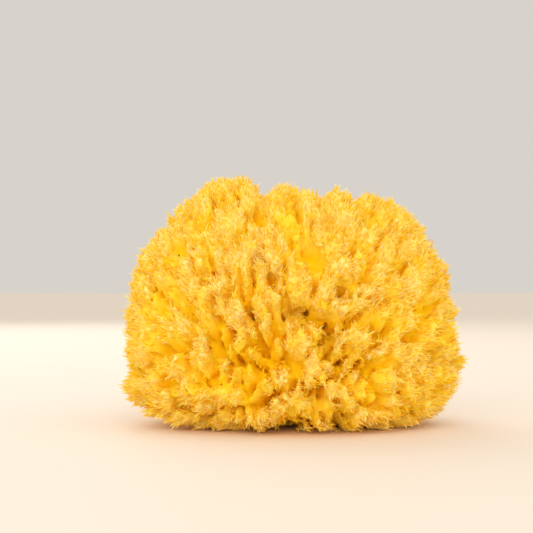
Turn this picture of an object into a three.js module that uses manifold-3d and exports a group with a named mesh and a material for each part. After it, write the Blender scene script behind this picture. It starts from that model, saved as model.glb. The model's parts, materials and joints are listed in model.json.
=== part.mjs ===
// Natural sea sponge, one grown piece: a bun-shaped lump of pointed tufts that stand in lobes,
// parted by clefts, pierced by canals and cut flat underneath, where it was taken off its rock.
// Millimetres, +Z up, front towards -Y, origin under the middle of the flat cut.
import * as THREE from "three";
import { ConvexHull } from "three/addons/math/ConvexHull.js";
import { mergeVertices } from "three/addons/utils/BufferGeometryUtils.js";
import Module from "manifold-3d";

// Overall size, tuft tip to tuft tip
const WIDTH = 140;
const DEPTH = 112;
const HEIGHT = 101;

// The smooth body under the tufts, measured from its waist, the widest girth
const WAIST_HEIGHT = 28;
const CROWN_RISE = 82; // of the flanks' ellipse, if nothing capped it
const CAP_RISE = 62.5; // of the flat crown that caps the flanks
const CAP_POWER = 14; // the higher, the sharper the shoulder between flank and cap
const BELLY_DROP = 32; // of the belly, if it were not cut off
const BELLY_POWER = 3; // 2 is an ellipse, and more is squarer

// Tufts and the lobes that gather them. Offsets run along the growth, outwards positive
const TUFT_COUNT = 360; // besides those on the canals' rims
const LOBE_COUNT = 250;
const SPREAD_TRIES = 30; // candidates for each new place, of which the loneliest wins
const TUFT_RISE = 1.5;
const DIMPLE_DEPTH = 0.3; // between tufts of one lobe
const CLEFT_DEPTH = 2.8; // between two lobes
const WELL_DEPTH = 5.5; // where three lobes meet
const VARIATION = 0.5; // share by which each of these varies, up or down

// Lobes of the crest, from side to side as seen from the front: middle, half width, rise
const CREST_LOBES = [
  { x: -43, halfWidth: 7, rise: 1.5 },
  { x: -26, halfWidth: 11, rise: 8 },
  { x: -12, halfWidth: 3, rise: -4 },
  { x: -1, halfWidth: 9, rise: 3.5 },
  { x: 13.5, halfWidth: 3, rise: -1.5 },
  { x: 20, halfWidth: 4.5, rise: 2.5 },
  { x: 25.5, halfWidth: 2.5, rise: -5 },
  { x: 36, halfWidth: 9, rise: 0.5 },
];
const CREST_HALF_DEPTH = 34;
const CREST_POWER = 4; // 2 gives round lobes, and more gives blunt ones with steep sides

// Canals that open on the front, by their place from side to side, their height and their depth
const FRONT_CANALS = [
  { x: 1.5, z: 48, deep: 20 },
  { x: 15.5, z: 35, deep: 22 },
  { x: 19, z: 52, deep: 14 },
  { x: -13, z: 66, deep: 16 },
  { x: -8, z: 59, deep: 12 },
  { x: -31, z: 34, deep: 14 },
  { x: -22, z: 24.5, deep: 16 },
  { x: -11.5, z: 28, deep: 17 },
  { x: -3.5, z: 26, deep: 14 },
  { x: 31, z: 25, deep: 16 },
  { x: -11, z: 11, deep: 15 },
  { x: 11, z: 15, deep: 14 },
  { x: -24, z: 38.5, deep: 15 },
  { x: -16.5, z: 44, deep: 13 },
  { x: 9.5, z: 44, deep: 14 },
  { x: 33, z: 34.5, deep: 14 },
  { x: -30, z: 50, deep: 12 },
  { x: 6, z: 69.5, deep: 12 },
];

// Canals everywhere else, scattered
const OTHER_CANAL_COUNT = 50;
const OTHER_CANAL_DEPTH = 13;
const FRONT_SHARE = 0.6; // the front takes this share of the half depth, where none is scattered

// A canal's mouth, inside a rim of tufts, and its throat, halfway from the rim to its middle
const RIM_TUFTS = 6;
const RIM_RADIUS = 4.4;
const RIM_CLEARANCE = 3; // between a rim's tuft and any other canal or rim tuft
const THROAT_SHARE = 0.55; // of the canal's depth

const CUTTER_SIZE = 2 * WIDTH;
const SEED = 20;

// A small seeded generator, so that every build gives the same sponge
function seededRandom(seed) {
  let state = seed;
  return () => {
    state = (state + 0x6d2b79f5) | 0;
    let mixed = Math.imul(state ^ (state >>> 15), 1 | state);
    mixed = (mixed + Math.imul(mixed ^ (mixed >>> 7), 61 | mixed)) ^ mixed;
    return ((mixed ^ (mixed >>> 14)) >>> 0) / 2 ** 32;
  };
}
const random = seededRandom(SEED);
const varied = (size) => size * (1 + VARIATION * (2 * random() - 1));

// The part of the flank or belly that a direction's height takes up, and the power of its outline
const climb = (z) => Math.abs(z) / (z > 0 ? CROWN_RISE : BELLY_DROP);
const outlinePower = (z) => (z > 0 ? 2 : BELLY_POWER);
const powerSum = (a, b, power) => (a ** power + b ** power) ** (1 / power);

// The smooth body's point in a direction from the waist's middle, which lies at 0,0,0
function bodyPoint(direction) {
  const { x, y, z } = direction;
  const girth = Math.hypot(x / (WIDTH / 2), y / (DEPTH / 2));
  const flank = powerSum(girth, climb(z), outlinePower(z));
  const cap = Math.max(z, 0) / CAP_RISE;
  return direction.clone().divideScalar(powerSum(flank, cap, CAP_POWER));
}

// The direction of the body's front at this place from side to side and this height
function frontDirection(x, height) {
  const z = height - WAIST_HEIGHT;
  const power = outlinePower(z);
  const flank = (1 - (Math.max(z, 0) / CAP_RISE) ** CAP_POWER) ** (1 / CAP_POWER);
  const girth = (flank ** power - climb(z) ** power) ** (1 / power);
  const y = (-DEPTH / 2) * Math.sqrt(girth ** 2 - (x / (WIDTH / 2)) ** 2);
  return new THREE.Vector3(x, y, z).normalize();
}

// Well-spaced random directions, clear of those taken: each is the loneliest of several candidates
function scatter(count, taken = []) {
  const chosen = [];
  const points = taken.map(bodyPoint);
  while (chosen.length < count) {
    let best = { gap: -1 };
    for (let i = 0; i < SPREAD_TRIES; i++) {
      const height = 2 * random() - 1;
      const turn = 2 * Math.PI * random();
      const rim = Math.sqrt(1 - height * height);
      const direction = new THREE.Vector3(rim * Math.cos(turn), rim * Math.sin(turn), height);
      const point = bodyPoint(direction);
      const gap = points.reduce((least, p) => Math.min(least, p.distanceToSquared(point)), Infinity);
      if (gap > best.gap) best = { gap, direction, point };
    }
    chosen.push(best.direction);
    points.push(best.point);
  }
  return chosen;
}

function nearestIndex(directions, direction) {
  const gaps = directions.map((d) => d.distanceToSquared(direction));
  return gaps.indexOf(Math.min(...gaps));
}

// The canals' depths by their directions
function placeCanals() {
  const canals = new Map(FRONT_CANALS.map(({ x, z, deep }) => [frontDirection(x, z), deep]));
  for (const direction of scatter(OTHER_CANAL_COUNT)) {
    const onFront = bodyPoint(direction).y < (-FRONT_SHARE * DEPTH) / 2;
    if (!onFront) canals.set(direction, varied(OTHER_CANAL_DEPTH));
  }
  return canals;
}

// The tufts around the canals' mouths, without those that would crowd another mouth
function placeRims(canals) {
  const rims = [];
  for (const canal of canals) {
    const aside = new THREE.Vector3(0, 0, 1).cross(canal).normalize();
    const along = canal.clone().cross(aside);
    for (let i = 0; i < RIM_TUFTS; i++) {
      const turn = (2 * Math.PI * i) / RIM_TUFTS;
      const place = bodyPoint(canal)
        .addScaledVector(aside, RIM_RADIUS * Math.cos(turn))
        .addScaledVector(along, RIM_RADIUS * Math.sin(turn));
      const crowded = [...canals, ...rims].some((d) => bodyPoint(d).distanceTo(place) < RIM_CLEARANCE);
      if (!crowded) rims.push(place.normalize());
    }
  }
  return rims;
}

// How far the crest's lobes lift a point of the body
function crestLift(point) {
  const up = THREE.MathUtils.smoothstep(point.z, CAP_RISE / 2, CAP_RISE);
  const across = Math.exp(-((point.y / CREST_HALF_DEPTH) ** 2));
  const bump = (x, halfWidth) => Math.exp(-(((point.x - x) / halfWidth) ** CREST_POWER));
  const lift = CREST_LOBES.reduce((sum, { x, halfWidth, rise }) => sum + rise * bump(x, halfWidth), 0);
  return up * across * lift;
}

// A point of the finished skin: the body point moved along its growth, away from the waist's middle
function skinPoint(direction, offset) {
  const point = bodyPoint(direction);
  const lift = crestLift(point);
  point.addScaledVector(direction, offset);
  point.z += lift;
  return point;
}

const between = (...directions) =>
  directions.reduce((sum, d) => sum.add(d), new THREE.Vector3()).normalize();

// The closed skin. The hull of the tufts' and canals' directions joins neighbours in triangles. Each is
// split at the middles of its sides, the saddles between two neighbours, and at its own middle, a pit
function tuftedSkin() {
  const canals = placeCanals();
  const rims = placeRims([...canals.keys()]);
  const tufts = [...rims, ...scatter(TUFT_COUNT, [...canals.keys(), ...rims])];
  const lobes = scatter(LOBE_COUNT);
  const lobeOf = new Map(tufts.map((tuft) => [tuft, nearestIndex(lobes, tuft)]));
  const ends = new Map(tufts.map((tuft) => [tuft, skinPoint(tuft, varied(TUFT_RISE))]));
  canals.forEach((deep, canal) => ends.set(canal, skinPoint(canal, -deep)));
  const depthBelow = [0, DIMPLE_DEPTH, CLEFT_DEPTH, WELL_DEPTH]; // by how many lobes meet there
  const sunken = (...around) => {
    const meeting = new Set(around.map((site) => lobeOf.get(site))).size;
    const canal = around.find((site) => canals.has(site));
    const depth = canal ? THROAT_SHARE * canals.get(canal) : varied(depthBelow[meeting]);
    return skinPoint(between(...around), -depth);
  };
  const sites = [...ends.keys()];
  const saddles = new Map();
  const saddle = (a, b) => {
    const key = [sites.indexOf(a), sites.indexOf(b)].sort((m, n) => m - n).join();
    if (!saddles.has(key)) saddles.set(key, sunken(a, b));
    return saddles.get(key);
  };
  const corners = [];
  for (const face of new ConvexHull().setFromPoints(sites).faces) {
    const around = [0, 1, 2].map((i) => face.getEdge(i).head().point);
    const pit = sunken(...around);
    around.forEach((site, i) => {
      const next = around[(i + 1) % 3];
      const middle = saddle(site, next);
      corners.push(ends.get(site), middle, pit, middle, ends.get(next), pit);
    });
  }
  return new THREE.BufferGeometry().setFromPoints(corners);
}

const wasm = await Module();
wasm.setup();

function solidOf(geometry) {
  const bare = geometry.clone();
  bare.deleteAttribute("normal");
  bare.deleteAttribute("uv");
  const merged = mergeVertices(bare);
  return new wasm.Manifold(
    new wasm.Mesh({
      numProp: 3,
      vertProperties: merged.attributes.position.array,
      triVerts: new Uint32Array(merged.index.array),
    }),
  );
}

function geometryOf(solid) {
  const { vertProperties, triVerts } = solid.getMesh();
  return new THREE.BufferGeometry()
    .setAttribute("position", new THREE.BufferAttribute(vertProperties, 3))
    .setIndex(new THREE.BufferAttribute(triVerts, 1));
}

// Everything below the cut, as a block
function belowTheCut() {
  const block = new THREE.BoxGeometry(CUTTER_SIZE, CUTTER_SIZE, CUTTER_SIZE);
  return block.translate(0, 0, -WAIST_HEIGHT - CUTTER_SIZE / 2);
}

// Brings the box of the shape to the overall size, standing on Z = 0 over the origin
function fitToSize(geometry) {
  geometry.computeBoundingBox();
  const size = geometry.boundingBox.getSize(new THREE.Vector3());
  const middle = geometry.boundingBox.getCenter(new THREE.Vector3());
  geometry.translate(-middle.x, -middle.y, -geometry.boundingBox.min.z);
  return geometry.scale(WIDTH / size.x, DEPTH / size.y, HEIGHT / size.z);
}

function spongeGeometry() {
  const cut = solidOf(tuftedSkin()).subtract(solidOf(belowTheCut()));
  const geometry = fitToSize(geometryOf(cut));
  geometry.computeVertexNormals();
  return geometry;
}

const spongin = new THREE.MeshStandardMaterial({ color: 0xf6b93c, roughness: 0.9, metalness: 0 });
const sponge = new THREE.Mesh(spongeGeometry(), spongin);
sponge.name = "sponge";

const part = new THREE.Group();
part.add(sponge);

export default part;
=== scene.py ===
# %% [markdown]
# A natural bath sponge. The real one is a single grown lump of spongin, a springy yellow fibre.
# Its surface is a maze of lobes and clefts that run outwards from the root, and every lobe ends in a
# brush of fine bristles. The packed solid gives the place, the size, the lumps and the main canals.
# This script grows the lobes and the bristles on it.

# %% Load the packed solid
import json
import random
from math import pi, radians

import bpy
from mathutils import Matrix, Vector

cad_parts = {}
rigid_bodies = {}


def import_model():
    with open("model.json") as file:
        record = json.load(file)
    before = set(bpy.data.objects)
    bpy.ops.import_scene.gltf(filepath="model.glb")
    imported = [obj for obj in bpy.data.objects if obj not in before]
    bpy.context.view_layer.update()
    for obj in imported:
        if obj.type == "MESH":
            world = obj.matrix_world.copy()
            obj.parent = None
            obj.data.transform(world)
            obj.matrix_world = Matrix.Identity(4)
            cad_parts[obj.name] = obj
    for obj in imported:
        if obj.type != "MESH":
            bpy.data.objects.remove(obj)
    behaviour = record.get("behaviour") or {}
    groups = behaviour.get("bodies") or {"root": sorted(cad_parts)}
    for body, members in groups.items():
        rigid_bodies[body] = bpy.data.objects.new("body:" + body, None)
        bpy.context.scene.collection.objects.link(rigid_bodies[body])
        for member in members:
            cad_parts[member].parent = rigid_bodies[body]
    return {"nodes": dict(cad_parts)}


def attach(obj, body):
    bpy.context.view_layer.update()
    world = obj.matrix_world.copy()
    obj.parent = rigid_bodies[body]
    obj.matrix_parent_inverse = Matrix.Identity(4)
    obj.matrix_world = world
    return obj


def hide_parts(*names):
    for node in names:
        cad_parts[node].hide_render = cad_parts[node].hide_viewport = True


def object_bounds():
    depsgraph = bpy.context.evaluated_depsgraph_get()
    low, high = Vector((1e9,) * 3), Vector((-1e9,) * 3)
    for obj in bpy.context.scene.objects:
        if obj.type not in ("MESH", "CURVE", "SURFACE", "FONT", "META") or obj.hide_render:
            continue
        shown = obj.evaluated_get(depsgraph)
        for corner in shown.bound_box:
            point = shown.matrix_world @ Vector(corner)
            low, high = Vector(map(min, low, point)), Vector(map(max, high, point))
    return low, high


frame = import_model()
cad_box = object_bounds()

MM = 0.001


def in_mm(corners):
    return [[round(c / MM, 1) for c in corner] for corner in corners]


print("packed solid, lowest and highest corner in mm:", in_mm(cad_box))

# %% [markdown]
# The camera comes first, so that every later step can be compared with the photograph. A long lens
# at half the height of the sponge gives the flat perspective of the picture, which shows no top face.

# %% Camera
LENS_MM = 85
CAMERA_DISTANCE = 512 * MM
CAMERA_HEIGHT = 55 * MM
CAMERA_TILT = radians(91.0)  # 90 is level, and more looks up
CAMERA_TURN = radians(1.07)

bpy.ops.object.camera_add(
    location=(0, -CAMERA_DISTANCE, CAMERA_HEIGHT),
    rotation=(CAMERA_TILT, 0, CAMERA_TURN),
)
camera = bpy.context.object
camera.data.lens = LENS_MM
bpy.context.scene.camera = camera
print("camera at", in_mm([camera.location]), "mm")

# %% [markdown]
# Node trees work out both the shape of the flesh and its colour. They could be drawn by hand in the
# node editor. Here they are written as formulas, which are easier to read and to change: a small class
# wraps a socket, `a + b` on two of them adds a Math node, and `node` adds any other kind.

# %% Node trees as formulas
class Wire:
    """An output socket of a node tree. Python's operators on it add Math nodes."""

    def __init__(self, tree, socket=None):
        self.tree = tree
        self.socket = socket

    def node(self, kind, settings=None, inputs=None, out=0):
        """Adds a node of a type, with its settings and its sockets' values or wires. Goes on from out."""
        made = self.tree.nodes.new(kind)
        for name, value in (settings or {}).items():
            setattr(made, name, value)
        for name, value in (inputs or {}).items():
            if isinstance(value, Wire):
                self.tree.links.new(value.socket, made.inputs[name])
            else:
                made.inputs[name].default_value = value
        return Wire(self.tree, made.outputs[out] if made.outputs else None)

    def other_output(self, name):
        return Wire(self.tree, self.socket.node.outputs[name])

    def maths(self, operation, *values):
        return self.node("ShaderNodeMath", {"operation": operation}, dict(enumerate(values)))

    def __add__(self, other):
        return self.maths("ADD", self, other)

    def __radd__(self, other):
        return self.maths("ADD", other, self)

    def __sub__(self, other):
        return self.maths("SUBTRACT", self, other)

    def __rsub__(self, other):
        return self.maths("SUBTRACT", other, self)

    def __mul__(self, other):
        return self.maths("MULTIPLY", self, other)

    def __rmul__(self, other):
        return self.maths("MULTIPLY", other, self)

    def __truediv__(self, other):
        return self.maths("DIVIDE", self, other)

    def __gt__(self, other):
        return self.maths("GREATER_THAN", self, other)

    def __lt__(self, other):
        return self.maths("LESS_THAN", self, other)

    def smooth_step(self, low, high):
        """0 where the value is below low, 1 above high, smooth between."""
        settings = {"interpolation_type": "SMOOTHSTEP"}
        inputs = {"Value": self, "From Min": low, "From Max": high}
        return self.node("ShaderNodeMapRange", settings, inputs)

    def vector(self, operation, *others, out=0):
        inputs = dict(enumerate((self, *others)))
        return self.node("ShaderNodeVectorMath", {"operation": operation}, inputs, out)

    def scaled(self, factor):
        return self.node("ShaderNodeVectorMath", {"operation": "SCALE"}, {0: self, "Scale": factor})

    def axis(self, number):
        return self.node("ShaderNodeSeparateXYZ", None, {0: self}, number)

    def joined(self, *others):
        return self.node("ShaderNodeCombineXYZ", None, dict(enumerate((self, *others))))


print("a wire can:", ", ".join(name for name in vars(Wire) if not name.startswith("_")))

# %% [markdown]
# Nothing on a grown thing is straight or repeats exactly. Three patterns give it that: soft noise for
# patches and crumbs, a drift that bends other patterns, and cells for whatever grows side by side.

# %% Patterns of growth
NOISE_MEAN = 0.5
NO_SHIFT = (0, 0, 0)


def noise(place, size, detail=0.0, shift=NO_SHIFT):
    """Soft random values around the mean, in lumps of about this size."""
    inputs = {"Vector": place.vector("ADD", shift), "Scale": 1 / size, "Detail": detail}
    return place.node("ShaderNodeTexNoise", None, inputs)


def drift(place, size, reach):
    """Soft random vectors, up to half of reach along each axis, in lumps of about this size."""
    colour = place.node("ShaderNodeTexNoise", None, {"Vector": place, "Scale": 1 / size}, "Color")
    return colour.vector("SUBTRACT", (NOISE_MEAN,) * 3).scaled(reach)


def cells(place, size, feature, out):
    """A Voronoi pattern of cells of about this size."""
    inputs = {"Vector": place, "Scale": 1 / size}
    return place.node("ShaderNodeTexVoronoi", {"feature": feature}, inputs, out)


print("patterns:", noise.__name__, drift.__name__, cells.__name__)

# %% [markdown]
# Under its lobes the sponge is one rounded lump, and the start for it is a copy of the packed solid.
# Its facets are too flat for grown flesh, so a voxel remesh gives it an even skin, and a Smooth modifier
# rounds that off. A Subdivision Surface would round it too, but it would keep the facets' pattern.

# %% Copy the solid and round it off
MERGE_DISTANCE = 0.01 * MM
SKIN_VOXEL = 1.6 * MM
ROUNDING = 0.5
ROUNDING_PASSES = 5


def select_only(piece):
    bpy.ops.object.select_all(action="DESELECT")
    piece.select_set(True)
    bpy.context.view_layer.objects.active = piece


def new_piece(name, mesh, collection=bpy.context.scene.collection):
    piece = bpy.data.objects.new(name, mesh)
    collection.objects.link(piece)
    select_only(piece)
    return piece


def apply_modifier(piece, kind, **settings):
    modifier = piece.modifiers.new(kind, kind)
    for name, value in settings.items():
        setattr(modifier, name, value)
    bpy.ops.object.modifier_apply(modifier=modifier.name)


body = new_piece("sponge_body", frame["nodes"]["sponge"].data.copy())
bpy.ops.object.mode_set(mode="EDIT")
bpy.ops.mesh.select_all(action="SELECT")
bpy.ops.mesh.remove_doubles(threshold=MERGE_DISTANCE)
bpy.ops.object.mode_set(mode="OBJECT")
apply_modifier(body, "REMESH", mode="VOXEL", voxel_size=SKIN_VOXEL)
apply_modifier(body, "SMOOTH", factor=ROUNDING, iterations=ROUNDING_PASSES)
print("rounded skin:", len(body.data.polygons), "faces")

# %% [markdown]
# The lobes could be sculpted by hand, but there are hundreds, and they follow one rule: they run
# outwards from the root. So the flesh is written as a field of numbers in space, negative inside,
# which Geometry Nodes turn into a mesh where it is zero. This cell measures each point's height over
# the skin and gives it a place in the columns. Columns change slowly along the way out from the root,
# so every pattern laid on them stretches into fingers. The skin, blurred until its canals are gone,
# is the general skin, which later tells how deep a canal goes.

# %% Height over the skin, and columns out of the root
ROOT = (0, 0, 12)  # mm, and so are the other lengths of the field
COLUMN_RADIUS = 60  # where the columns have the size of the pattern
COLUMN_SHORTENING = 0.3  # the lower, the longer the fingers
GENERAL_PASSES = 120  # of blurring the skin


def geometry_tree(name):
    """An empty geometry node tree, from its incoming geometry on."""
    tree = bpy.data.node_groups.new(name, "GeometryNodeTree")
    for in_out in ("INPUT", "OUTPUT"):
        tree.interface.new_socket("Geometry", in_out=in_out, socket_type="NodeSocketGeometry")
    return Wire(tree).node("NodeGroupInput")


def height_over(surface):
    """How many mm each point lies over a surface, negative inside."""
    point = surface.node("GeometryNodeInputPosition")
    foot = surface.node("GeometryNodeProximity", None, {0: surface, "Sample Position": point})
    normal = surface.node(
        "GeometryNodeSampleNearestSurface",
        {"data_type": "FLOAT_VECTOR"},
        {"Mesh": surface, "Value": surface.node("GeometryNodeInputNormal"), "Sample Position": point},
    )
    return point.vector("SUBTRACT", foot).vector("DOT_PRODUCT", normal, out="Value") / MM


def blurred(value):
    inputs = {"Value": value, "Iterations": GENERAL_PASSES}
    return value.node("GeometryNodeBlurAttribute", {"data_type": "FLOAT_VECTOR"}, inputs)


skin = geometry_tree("flesh")
point = skin.node("GeometryNodeInputPosition")
place = point.scaled(1 / MM)
height = height_over(skin)
general_skin = skin.node("GeometryNodeSetPosition", None, {0: skin, "Position": blurred(point)})
from_root = place.vector("SUBTRACT", ROOT)
distance = from_root.vector("LENGTH", out="Value")
column = from_root.vector("NORMALIZE").scaled(
    COLUMN_RADIUS * (1 - COLUMN_SHORTENING) + COLUMN_SHORTENING * distance
)
print("field so far:", len(skin.tree.nodes), "nodes")

# %% [markdown]
# Lobes are the cells of a Voronoi pattern, bent out of shape and longer than wide. Each lobe has a
# height of its own, and shallow dimples divide it into tufts. All of it fades out at the bottom, where
# a knife has cut the real sponge flat.

# %% Lobes and tufts
LOBE = 5.4
LOBE_BEND = 5
LOBE_BEND_SIZE = 11
LOBE_UPRIGHT = (1, 1, 0.48)  # squeezes the pattern upwards, so that lobes come out taller than wide
LOBE_RISE = 2.2  # from the lowest lobe to the highest
TUFT = 4.2
TUFT_BEND = 4
TUFT_BEND_SIZE = 6
DIMPLE_DEPTH = 1.7
DIMPLE_HALF_WIDTH = 1.3
SWELL = 0.9  # out of the rounded skin, to where the tips of the solid were
FLAT_ZONE = 6  # above the cut, where all this fades out

above_cut = place.axis(2).smooth_step(0, FLAT_ZONE)
lobes = column.vector("ADD", drift(column, LOBE_BEND_SIZE, LOBE_BEND)).vector("MULTIPLY", LOBE_UPRIGHT)
lobe_edge = LOBE * cells(lobes, LOBE, "DISTANCE_TO_EDGE", 0)
lobe_chance = cells(lobes, LOBE, "F1", "Color").axis(0) - NOISE_MEAN
tufts = column.vector("ADD", drift(column, TUFT_BEND_SIZE, TUFT_BEND))
tuft_edge = TUFT * cells(tufts, TUFT, "DISTANCE_TO_EDGE", 0)
dimple = DIMPLE_DEPTH * (1 - tuft_edge.smooth_step(0, DIMPLE_HALF_WIDTH))
over_lobe = height + (LOBE_RISE * lobe_chance + dimple - SWELL) * above_cut
print("field with lobes:", len(skin.tree.nodes), "nodes")

# %% [markdown]
# Clefts part the lobes. A cleft is widest at the top, closes on the way down, and is missing where
# lobes have grown together, which happens more often near the crest. Cutting each one by hand would
# be as long a job as the lobes, and here they are already known: they run along the lobes' edges.
# Fine noise crumbles what is left.

# %% Clefts and crumbs
CLEFT_HALF_WIDTH = 1.8
CLEFT_DEPTH = 9  # where the widest one ends
CLEFT_PATCH = 8  # the size of the patches in which clefts are open or closed
CLEFT_PATCH_SHIFT = (3, 50, 11)
CLEFT_RANGE = (0.3, 0.7)  # of the patches' noise, from closed to widest
CLEFT_HEIGHTS = (30, 85)  # from where clefts are most often open to where they are least
MORE_CLEFTS = 0.08  # how much more often, as a shift of the patches' noise
ROUND_EDGE = 1.5
CRUMB = 2.3
CRUMB_HEIGHT = 1.8

low_down = 1 - place.axis(2).smooth_step(*CLEFT_HEIGHTS)
patches = noise(column, CLEFT_PATCH, detail=1.0, shift=CLEFT_PATCH_SHIFT) + MORE_CLEFTS * low_down
openness = patches.smooth_step(*CLEFT_RANGE)
into_cleft = CLEFT_HALF_WIDTH * (openness + height / CLEFT_DEPTH) - lobe_edge
crumbs = CRUMB_HEIGHT * (noise(place, CRUMB, detail=1.0) - NOISE_MEAN) * above_cut
flesh = over_lobe.maths("SMOOTH_MAX", over_lobe, into_cleft, ROUND_EDGE) + crumbs
print("field with clefts:", len(skin.tree.nodes), "nodes")

# %% [markdown]
# A Volume Cube samples the field on a grid, and Volume to Mesh lays a skin where it is zero. Loose
# crumbs and bubbles come with it, and they go, because the real sponge is one piece. How deep a point
# lies is kept on the mesh, since bristles and the painted shade of the colour follow it: below the top
# of its own lobe or, in a canal, below the general skin.

# %% Mesh the flesh
FLESH_VOXEL = 1.1 * MM
GRID_MARGIN = 2 * FLESH_VOXEL
FIELD_SPAN = 6  # mm of the field that become one unit of density
SURFACE_DENSITY = 0.5
PALE_DEPTH = 0.5
DEEP_DEPTH = 7.0
CANAL_DEPTH = 1.5  # below the general skin, from where a hollow counts as a canal
MOTTLE = 7.0
SMALLEST_ISLAND = 1000  # points


def store(geometry, name, value, kind="FLOAT", domain="POINT"):
    """Keeps a field on the mesh under a name."""
    settings = {"data_type": kind, "domain": domain}
    inputs = {0: geometry, "Name": name, "Value": value}
    return geometry.node("GeometryNodeStoreNamedAttribute", settings, inputs)


def without_crumbs(geometry):
    """Drops the small islands of a mesh."""
    inputs = {"Value": 1.0, "Group ID": geometry.node("GeometryNodeInputMeshIsland")}
    points = geometry.node("GeometryNodeAccumulateField", None, inputs, "Total")
    return geometry.node("GeometryNodeDeleteGeometry", None, {0: geometry, 1: SMALLEST_ISLAND > points})


def grow(piece, geometry):
    """Runs a finished geometry node tree on a piece, and keeps what it makes as the piece's mesh."""
    geometry.node("NodeGroupOutput", None, {0: geometry})
    apply_modifier(piece, "NODES", node_group=geometry.tree)


def triangle_count(piece):
    piece.data.calc_loop_triangles()
    return len(piece.data.loop_triangles)


low_corner = [c - GRID_MARGIN for c in cad_box[0]]
high_corner = [c + GRID_MARGIN for c in cad_box[1]]
density = SURFACE_DENSITY - flesh / FIELD_SPAN
grid = {"Density": density, "Background": 0.0, "Min": low_corner, "Max": high_corner}
for name, low, high in zip("XYZ", low_corner, high_corner):
    grid["Resolution " + name] = round((high - low) / FLESH_VOXEL)
volume = skin.node("GeometryNodeVolumeCube", None, grid)
meshed = volume.node(
    "GeometryNodeVolumeToMesh", {"resolution_mode": "GRID"}, {0: volume, "Threshold": SURFACE_DENSITY}
)
depth = skin.maths("MAXIMUM", 0 - over_lobe, 0 - height_over(general_skin) - CANAL_DEPTH)
meshed = store(without_crumbs(meshed), "depth", depth)
# Painted lightness is painted light and shade: 1 on the lobe tops and 0 deep in clefts and canals, where
# the colour gets painted shade and glow.
meshed = store(meshed, "paleness", 1 - depth.smooth_step(PALE_DEPTH, DEEP_DEPTH))
meshed = store(meshed, "mottle", noise(place, MOTTLE, detail=2.0))
grow(body, meshed)
print("flesh:", triangle_count(body), "triangles")

# %% [markdown]
# The grid gives far more triangles than the shape needs. A coarser grid would close the narrow clefts,
# so a Decimate modifier thins the mesh instead, most where it is flat. The flesh then takes the
# place of the solid.

# %% Thin the flesh
MOST_TRIANGLES = 198000

apply_modifier(body, "DECIMATE", ratio=min(1.0, MOST_TRIANGLES / triangle_count(body)))
bpy.ops.object.shade_smooth()
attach(body, "root")
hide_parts("sponge")
print("thinned flesh:", triangle_count(body), "triangles")

# %% [markdown]
# A bristle is a tapering hair, two to five millimetres long, with a curl. It is modelled as by hand: a
# triangle is extruded three times, turning and shrinking each time, and closed in a point. A few kinds
# are enough, because each copy is turned and sized at random.

# %% Kinds of bristles
BRISTLE_KINDS = 8
BRISTLE_SIDES = 3
BRISTLE_RADIUS = 0.31 * MM
BRISTLE_LENGTH = (2.4 * MM, 4.4 * MM)
BRISTLE_ROOT = 0.4 * MM  # how deep it stands in the flesh
BRISTLE_TAPER = (0.85, 0.7)
BRISTLE_CURL = radians(48)  # the most per step
CURL_SLANT = 0.3
DRAW_SEED = 7
draw = random.Random(DRAW_SEED)

bristle_kinds = bpy.data.collections.new("bristle kinds")
bpy.context.scene.collection.children.link(bristle_kinds)


def extrude_bristle(length):
    """Draws one bristle in the open mesh, from a triangle below the origin."""
    end = Vector((0, 0, -BRISTLE_ROOT))
    step = Vector((0, 0, length / (len(BRISTLE_TAPER) + 1)))
    curl_axis = Vector((1, draw.uniform(-CURL_SLANT, CURL_SLANT), draw.uniform(-CURL_SLANT, CURL_SLANT)))
    bpy.ops.mesh.primitive_circle_add(
        vertices=BRISTLE_SIDES, radius=BRISTLE_RADIUS, fill_type="NGON", calc_uvs=False, location=end
    )
    for taper in (*BRISTLE_TAPER, 0):
        bpy.ops.mesh.extrude_region_move(TRANSFORM_OT_translate={"value": step})
        end = end + step
        step = Matrix.Rotation(draw.uniform(0, BRISTLE_CURL), 3, curl_axis) @ step
        if taper:
            bpy.ops.transform.resize(value=(taper, taper, taper), center_override=end)
    bpy.ops.mesh.merge(type="CENTER")


for kind in range(BRISTLE_KINDS):
    mesh = bpy.data.meshes.new(f"bristle_{kind}")
    bristle = new_piece(mesh.name, mesh, bristle_kinds)
    bpy.ops.object.mode_set(mode="EDIT")
    extrude_bristle(draw.uniform(*BRISTLE_LENGTH))
    bpy.ops.mesh.select_all(action="SELECT")
    bpy.ops.mesh.normals_make_consistent(inside=False)
    bpy.ops.object.mode_set(mode="OBJECT")
    reach = max(v.co.length for v in mesh.vertices)
    along = mesh.attributes.new("along", "FLOAT", "POINT")
    along.data.foreach_set("value", [v.co.length / reach for v in mesh.vertices])
print("bristles:", [triangle_count(bristle) for bristle in bristle_kinds.objects], "triangles each")

# %% [markdown]
# Bristles stand on the tops of the lobes and thin out down their sides, so the clefts stay smooth. They
# point outwards from the root, lean with the flesh that they stand on, and swirl in little groups. Low
# ones may not droop, or they would go through whatever the sponge stands on.

# %% Where bristles stand, and which way they point
BRISTLES_PER_M2 = 850000
BRISTLE_ZONE = (0.8, 4.4)  # mm below the top of a lobe, from where they thin out to where they end
BARE_HEIGHT = (0.3 * MM, 2 * MM)  # above the cut, from where bristles start to where they are dense
LEAN = 0.25
SWIRL = 0.8
SWIRL_SIZE = 3.0
STRAY = 0.3
STRAY_SEED = 50
DROOP_HEIGHT = 12 * MM  # the lower a bristle stands, the less it may point down
NO_LIMIT = -9.0  # lower than any place or direction here


def kept(geometry, name):
    """A field that was stored on the mesh."""
    return geometry.node("GeometryNodeInputNamedAttribute", {"data_type": "FLOAT"}, {"Name": name})


def chance(geometry, low, high, seed, kind="FLOAT"):
    inputs = {"Min": low, "Max": high, "Seed": seed}
    return geometry.node("FunctionNodeRandomValue", {"data_type": kind}, inputs, "Value")


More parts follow.
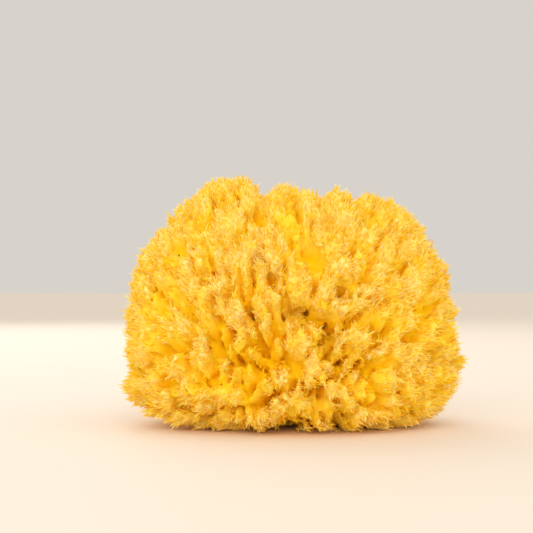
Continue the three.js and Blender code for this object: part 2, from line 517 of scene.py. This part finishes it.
def bristle_density(ground, point, sides):
    """How many bristles stand on a square metre, all of them in one quarter of the sponge."""
    here = (point.axis(0) * sides[0] > 0) * (point.axis(1) * sides[1] > 0)
    high_enough = point.axis(2).smooth_step(*BARE_HEIGHT)
    share = high_enough * (1 - kept(ground, "depth").smooth_step(*BRISTLE_ZONE))
    return BRISTLES_PER_M2 * here * share


def bristle_heading(scattered, point):
    """The way that a bristle points."""
    outwards = point.vector("SUBTRACT", [c * MM for c in ROOT]).vector("NORMALIZE")
    lean = scattered.other_output("Normal").scaled(LEAN)
    swirl = drift(point.scaled(1 / MM), SWIRL_SIZE, SWIRL)
    stray = chance(scattered, (-STRAY,) * 3, (STRAY,) * 3, STRAY_SEED, "FLOAT_VECTOR")
    heading = outwards.vector("ADD", lean).vector("ADD", swirl).vector("ADD", stray)
    steepest = 0 - point.axis(2) / DROOP_HEIGHT
    limit = point.node("ShaderNodeCombineXYZ", None, {0: NO_LIMIT, 1: NO_LIMIT, 2: steepest})
    return heading.vector("MAXIMUM", limit)


print("bristles:", round(BRISTLES_PER_M2 * MM * MM, 2), "per square mm at most")

# %% [markdown]
# Hair curves would do for a picture but are lost when the model is exported, so Geometry Nodes place
# copies of the kinds and make them real mesh. Each quarter of the sponge is a piece of its own, which
# keeps the meshes small. A map on every bristle tells the colours how far along it a point is and how
# deep the bristle stands, which sets its painted shade.

# %% Fringes of bristles
QUARTERS = {"front_left": (-1, -1), "front_right": (1, -1), "back_left": (-1, 1), "back_right": (1, 1)}
COMB_SIZE = 5.0  # neighbours within this many mm curl the same way
COMB_TURNS = 2
SPIN_SPREAD = 1.0
SPIN_SEED = 11
BRISTLE_SCALE = (0.6, 1.25)
SCALE_SEED = 12
SHADE_SPREAD = 0.2
SHADE_SEED = 13
SHADE_DEPTH = 2.5  # mm below the top of a lobe, where the painted shade on bristles is darkest
LOWEST = 0.1 * MM
MAP_WIDTH = 0.01  # of a face across its map, or no pixel would fall on it
MAP_CORNERS = 3  # that lie side by side on the map


def bristle_copies(ground, scattered, point):
    """Sets a kind of bristle on every scattered point, turned and sized."""
    comb = 2 * pi * COMB_TURNS * noise(point.scaled(1 / MM), COMB_SIZE)
    spin = comb + chance(ground, 0.0, SPIN_SPREAD, SPIN_SEED)
    turn = ground.node(
        "FunctionNodeAlignRotationToVector",
        {"axis": "Z"},
        {
            "Rotation": ground.node("ShaderNodeCombineXYZ", None, {2: spin}),
            "Vector": bristle_heading(scattered, point),
        },
    )
    size = chance(ground, *BRISTLE_SCALE, SCALE_SEED)
    kinds = ground.node(
        "GeometryNodeCollectionInfo",
        None,
        {"Collection": bristle_kinds, "Separate Children": True, "Reset Children": True},
    )
    return scattered.node(
        "GeometryNodeInstanceOnPoints",
        None,
        {
            "Points": scattered,
            "Instance": kinds,
            "Pick Instance": True,
            "Rotation": turn,
            "Scale": size.joined(size, size),
        },
    )


def grow_fringe(name, sides, seed):
    """The bristles of one quarter, on a copy of the flesh."""
    fringe = new_piece(name, body.data.copy())
    ground = geometry_tree(name)
    point = ground.node("GeometryNodeInputPosition")
    scattered = ground.node(
        "GeometryNodeDistributePointsOnFaces",
        {"distribute_method": "RANDOM"},
        {0: ground, "Density": bristle_density(ground, point, sides), "Seed": seed},
    )
    copies = bristle_copies(ground, scattered, point)
    # Painted shade: a bristle lower down its lobe gets a darker colour, and a random spread of tone is
    # added.
    lit = 1 - kept(copies, "depth").smooth_step(0, SHADE_DEPTH)
    shade = (1 - SHADE_SPREAD) * lit + chance(copies, 0.0, SHADE_SPREAD, SHADE_SEED)
    copies = store(copies, "shade", shade, domain="INSTANCE")
    real = copies.node("GeometryNodeRealizeInstances", None, {0: copies})
    above_floor = point.vector("MAXIMUM", (NO_LIMIT, NO_LIMIT, LOWEST))
    real = real.node("GeometryNodeSetPosition", None, {0: real, "Position": above_floor})
    corner = real.node("GeometryNodeInputIndex")
    across = MAP_WIDTH * corner.maths("MODULO", corner, MAP_CORNERS)
    bristle_map = kept(real, "along").joined(kept(real, "shade") + across)
    grow(fringe, store(real, "OFBake", bristle_map, "FLOAT2", "CORNER"))
    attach(fringe, "root")
    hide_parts("sponge")
    return fringe


fringes = [grow_fringe(f"fringe_{name}", sides, i) for i, (name, sides) in enumerate(QUARTERS.items())]
for bristle in list(bristle_kinds.objects):
    bpy.data.objects.remove(bristle)
bpy.data.collections.remove(bristle_kinds)
print("fringes:", [triangle_count(fringe) for fringe in fringes], "triangles")

# %% [markdown]
# Spongin is matt and lets light through, so the clefts glow orange where light has passed through a
# lot of it, and the tips are pale. A painted texture would need a picture. Here the colour follows the
# depth that is kept on the flesh: the deep orange of clefts and canals is painted shade and glow, and
# the pale lobe tops are painted light. Soft mottling adds tone at random, and a fine bump stands for
# the felt of fibres that are too small to model.

# %% Spongin of the flesh
# The deep shade colour is painted shade and glow for clefts, canals, lower lobe sides and bristle roots.
# The tip colour is painted light on lobe tops and bristle tips. In the flesh it shows only where the
# random mottling is pale as well.
DEEP_SHADE_COLOUR = (0.95, 0.63, 0.006, 1)
MIDDLE_COLOUR = (0.95, 0.70, 0.06, 1)
TIP_COLOUR = (0.97, 0.81, 0.31, 1)
FLESH_MIDDLE = (0.0, 0.8)  # of painted lightness, from the deep shade colour to the middle one
FLESH_TIP = (1.25, 1.75)  # of painted lightness and mottling together, from the middle colour to the tips'
ROUGHNESS = (0.8, 0.95)
FELT = 0.7  # mm, the grain of the flesh
FELT_HEIGHT = 0.25 * MM
FELT_STRENGTH = 1.0
SPECULAR = 0.05
FLESH_GLOW = 0.5
GLOW_RADIUS = (1.0, 0.5, 0.1)
GLOW_SCALE = 3 * MM


def mixed(factor, first, second):
    inputs = {0: factor, "A": first, "B": second}
    return factor.node("ShaderNodeMix", {"data_type": "RGBA"}, inputs, "Result")


def between(low, high, share):
    return low + (high - low) * share


def new_material(name):
    material = bpy.data.materials.new(name)
    material.use_nodes = True
    return material, material.node_tree.nodes["Principled BSDF"]


def spongin(name, glow):
    material, shader = new_material(name)
    for socket, value in {
        "Specular IOR Level": SPECULAR,
        "Subsurface Weight": glow,
        "Subsurface Radius": GLOW_RADIUS,
        "Subsurface Scale": GLOW_SCALE,
    }.items():
        shader.inputs[socket].default_value = value
    return material, shader


def feed(shader, wires):
    for socket, wire in wires.items():
        wire.tree.links.new(wire.socket, shader.inputs[socket])


def dress(piece, material):
    piece.data.materials.clear()
    piece.data.materials.append(material)


flesh_material, shader = spongin("spongin_flesh", FLESH_GLOW)
look = Wire(flesh_material.node_tree)
paleness = look.node("ShaderNodeAttribute", {"attribute_name": "paleness"}, None, "Fac")
mottle = look.node("ShaderNodeAttribute", {"attribute_name": "mottle"}, None, "Fac")
colour = mixed(paleness.smooth_step(*FLESH_MIDDLE), DEEP_SHADE_COLOUR, MIDDLE_COLOUR)
colour = mixed((paleness + mottle).smooth_step(*FLESH_TIP), colour, TIP_COLOUR)
grain = noise(look.node("ShaderNodeTexCoord", out="Object").scaled(1 / MM), FELT, detail=2.0)
felt = look.node(
    "ShaderNodeBump", None, {"Strength": FELT_STRENGTH, "Distance": FELT_HEIGHT, "Height": grain}
)
feed(shader, {"Base Color": colour, "Roughness": between(*ROUGHNESS, mottle), "Normal": felt})
dress(body, flesh_material)
print("flesh material:", len(look.tree.nodes), "nodes")

# %% [markdown]
# A bristle is spongin too. Its colour is painted with light and shade: deep at its root, pale at its
# tip, and paler still on top of a lobe than down its side, with a little tone at random. The map on
# the bristles tells both. They are too thin for light to spread inside them, so they don't glow.

# %% Spongin of the bristles
BRISTLE_MIDDLE = (0.3, 1.2)  # of along and shade together, from the deep shade colour to the middle one
BRISTLE_TIP = (0.2, 0.9)  # of along times painted shade, from the middle colour to the tips'
BRISTLE_GLOW = 0.0

bristle_material, shader = spongin("spongin_bristle", BRISTLE_GLOW)
look = Wire(bristle_material.node_tree)
bristle_map = look.node("ShaderNodeUVMap", {"uv_map": "OFBake"})
along = bristle_map.axis(0)
shade = bristle_map.axis(1)
colour = mixed((along + shade).smooth_step(*BRISTLE_MIDDLE), DEEP_SHADE_COLOUR, MIDDLE_COLOUR)
colour = mixed((along * shade).smooth_step(*BRISTLE_TIP), colour, TIP_COLOUR)
feed(shader, {"Base Color": colour, "Roughness": between(*ROUGHNESS, shade)})
for fringe in fringes:
    dress(fringe, bristle_material)
print("bristle material:", len(look.tree.nodes), "nodes")

# %% [markdown]
# The sponge stands on a plain pale floor, which catches its shadow and throws warm light back under
# it. A single lamp would blacken the clefts, so the light is soft and comes from all round: a large
# panel in front, one behind, a wide low fill that reaches into the clefts, and a bright sky. Light
# bounces often, as it does between pale lobes.

# %% Floor and light
FLOOR_SIZE = 30.0
FLOOR_COLOUR = (0.93, 0.82, 0.70, 1)
FLOOR_ROUGHNESS = 0.7
LIGHTS = {  # kind, strength, place in metres and turn in degrees
    "key": ("AREA", 2.6, (0.5, -0.5, 0.9), (38, 0, 45)),
    "fill": ("SUN", 2.2, (0, 0, 0), (84, 0, -11)),
    "back": ("AREA", 5.0, (-0.5, 0.8, 0.8), (-45, 0, 32)),
}
PANEL_SIZE = 1.2
FILL_SPREAD = radians(80)
SKY_COLOUR = (1.0, 0.95, 0.88, 1)
SKY_STRENGTH = 0.68
BOUNCES = 10

bpy.ops.mesh.primitive_plane_add(size=FLOOR_SIZE)
floor = bpy.context.object
floor.name = "floor"
floor_material, shader = new_material("pale_floor")
shader.inputs["Base Color"].default_value = FLOOR_COLOUR
shader.inputs["Roughness"].default_value = FLOOR_ROUGHNESS
floor.data.materials.append(floor_material)

for name, (kind, strength, location, turn) in LIGHTS.items():
    bpy.ops.object.light_add(type=kind, location=location, rotation=[radians(a) for a in turn])
    light = bpy.context.object
    light.name = name
    light.data.energy = strength
    if kind == "AREA":
        light.data.size = PANEL_SIZE
        light.visible_camera = False
    else:
        light.data.angle = FILL_SPREAD

world = bpy.data.worlds.new("studio")
world.use_nodes = True
background = world.node_tree.nodes["Background"]
background.inputs["Color"].default_value = SKY_COLOUR
background.inputs["Strength"].default_value = SKY_STRENGTH
bpy.context.scene.world = world
bpy.context.scene.view_settings.view_transform = "Standard"
bpy.context.scene.cycles.diffuse_bounces = BOUNCES
print("floor of", FLOOR_SIZE, "m, sky, and lights:", ", ".join(LIGHTS))

# %% [markdown]
# The visual model has to keep to the packed solid's box.
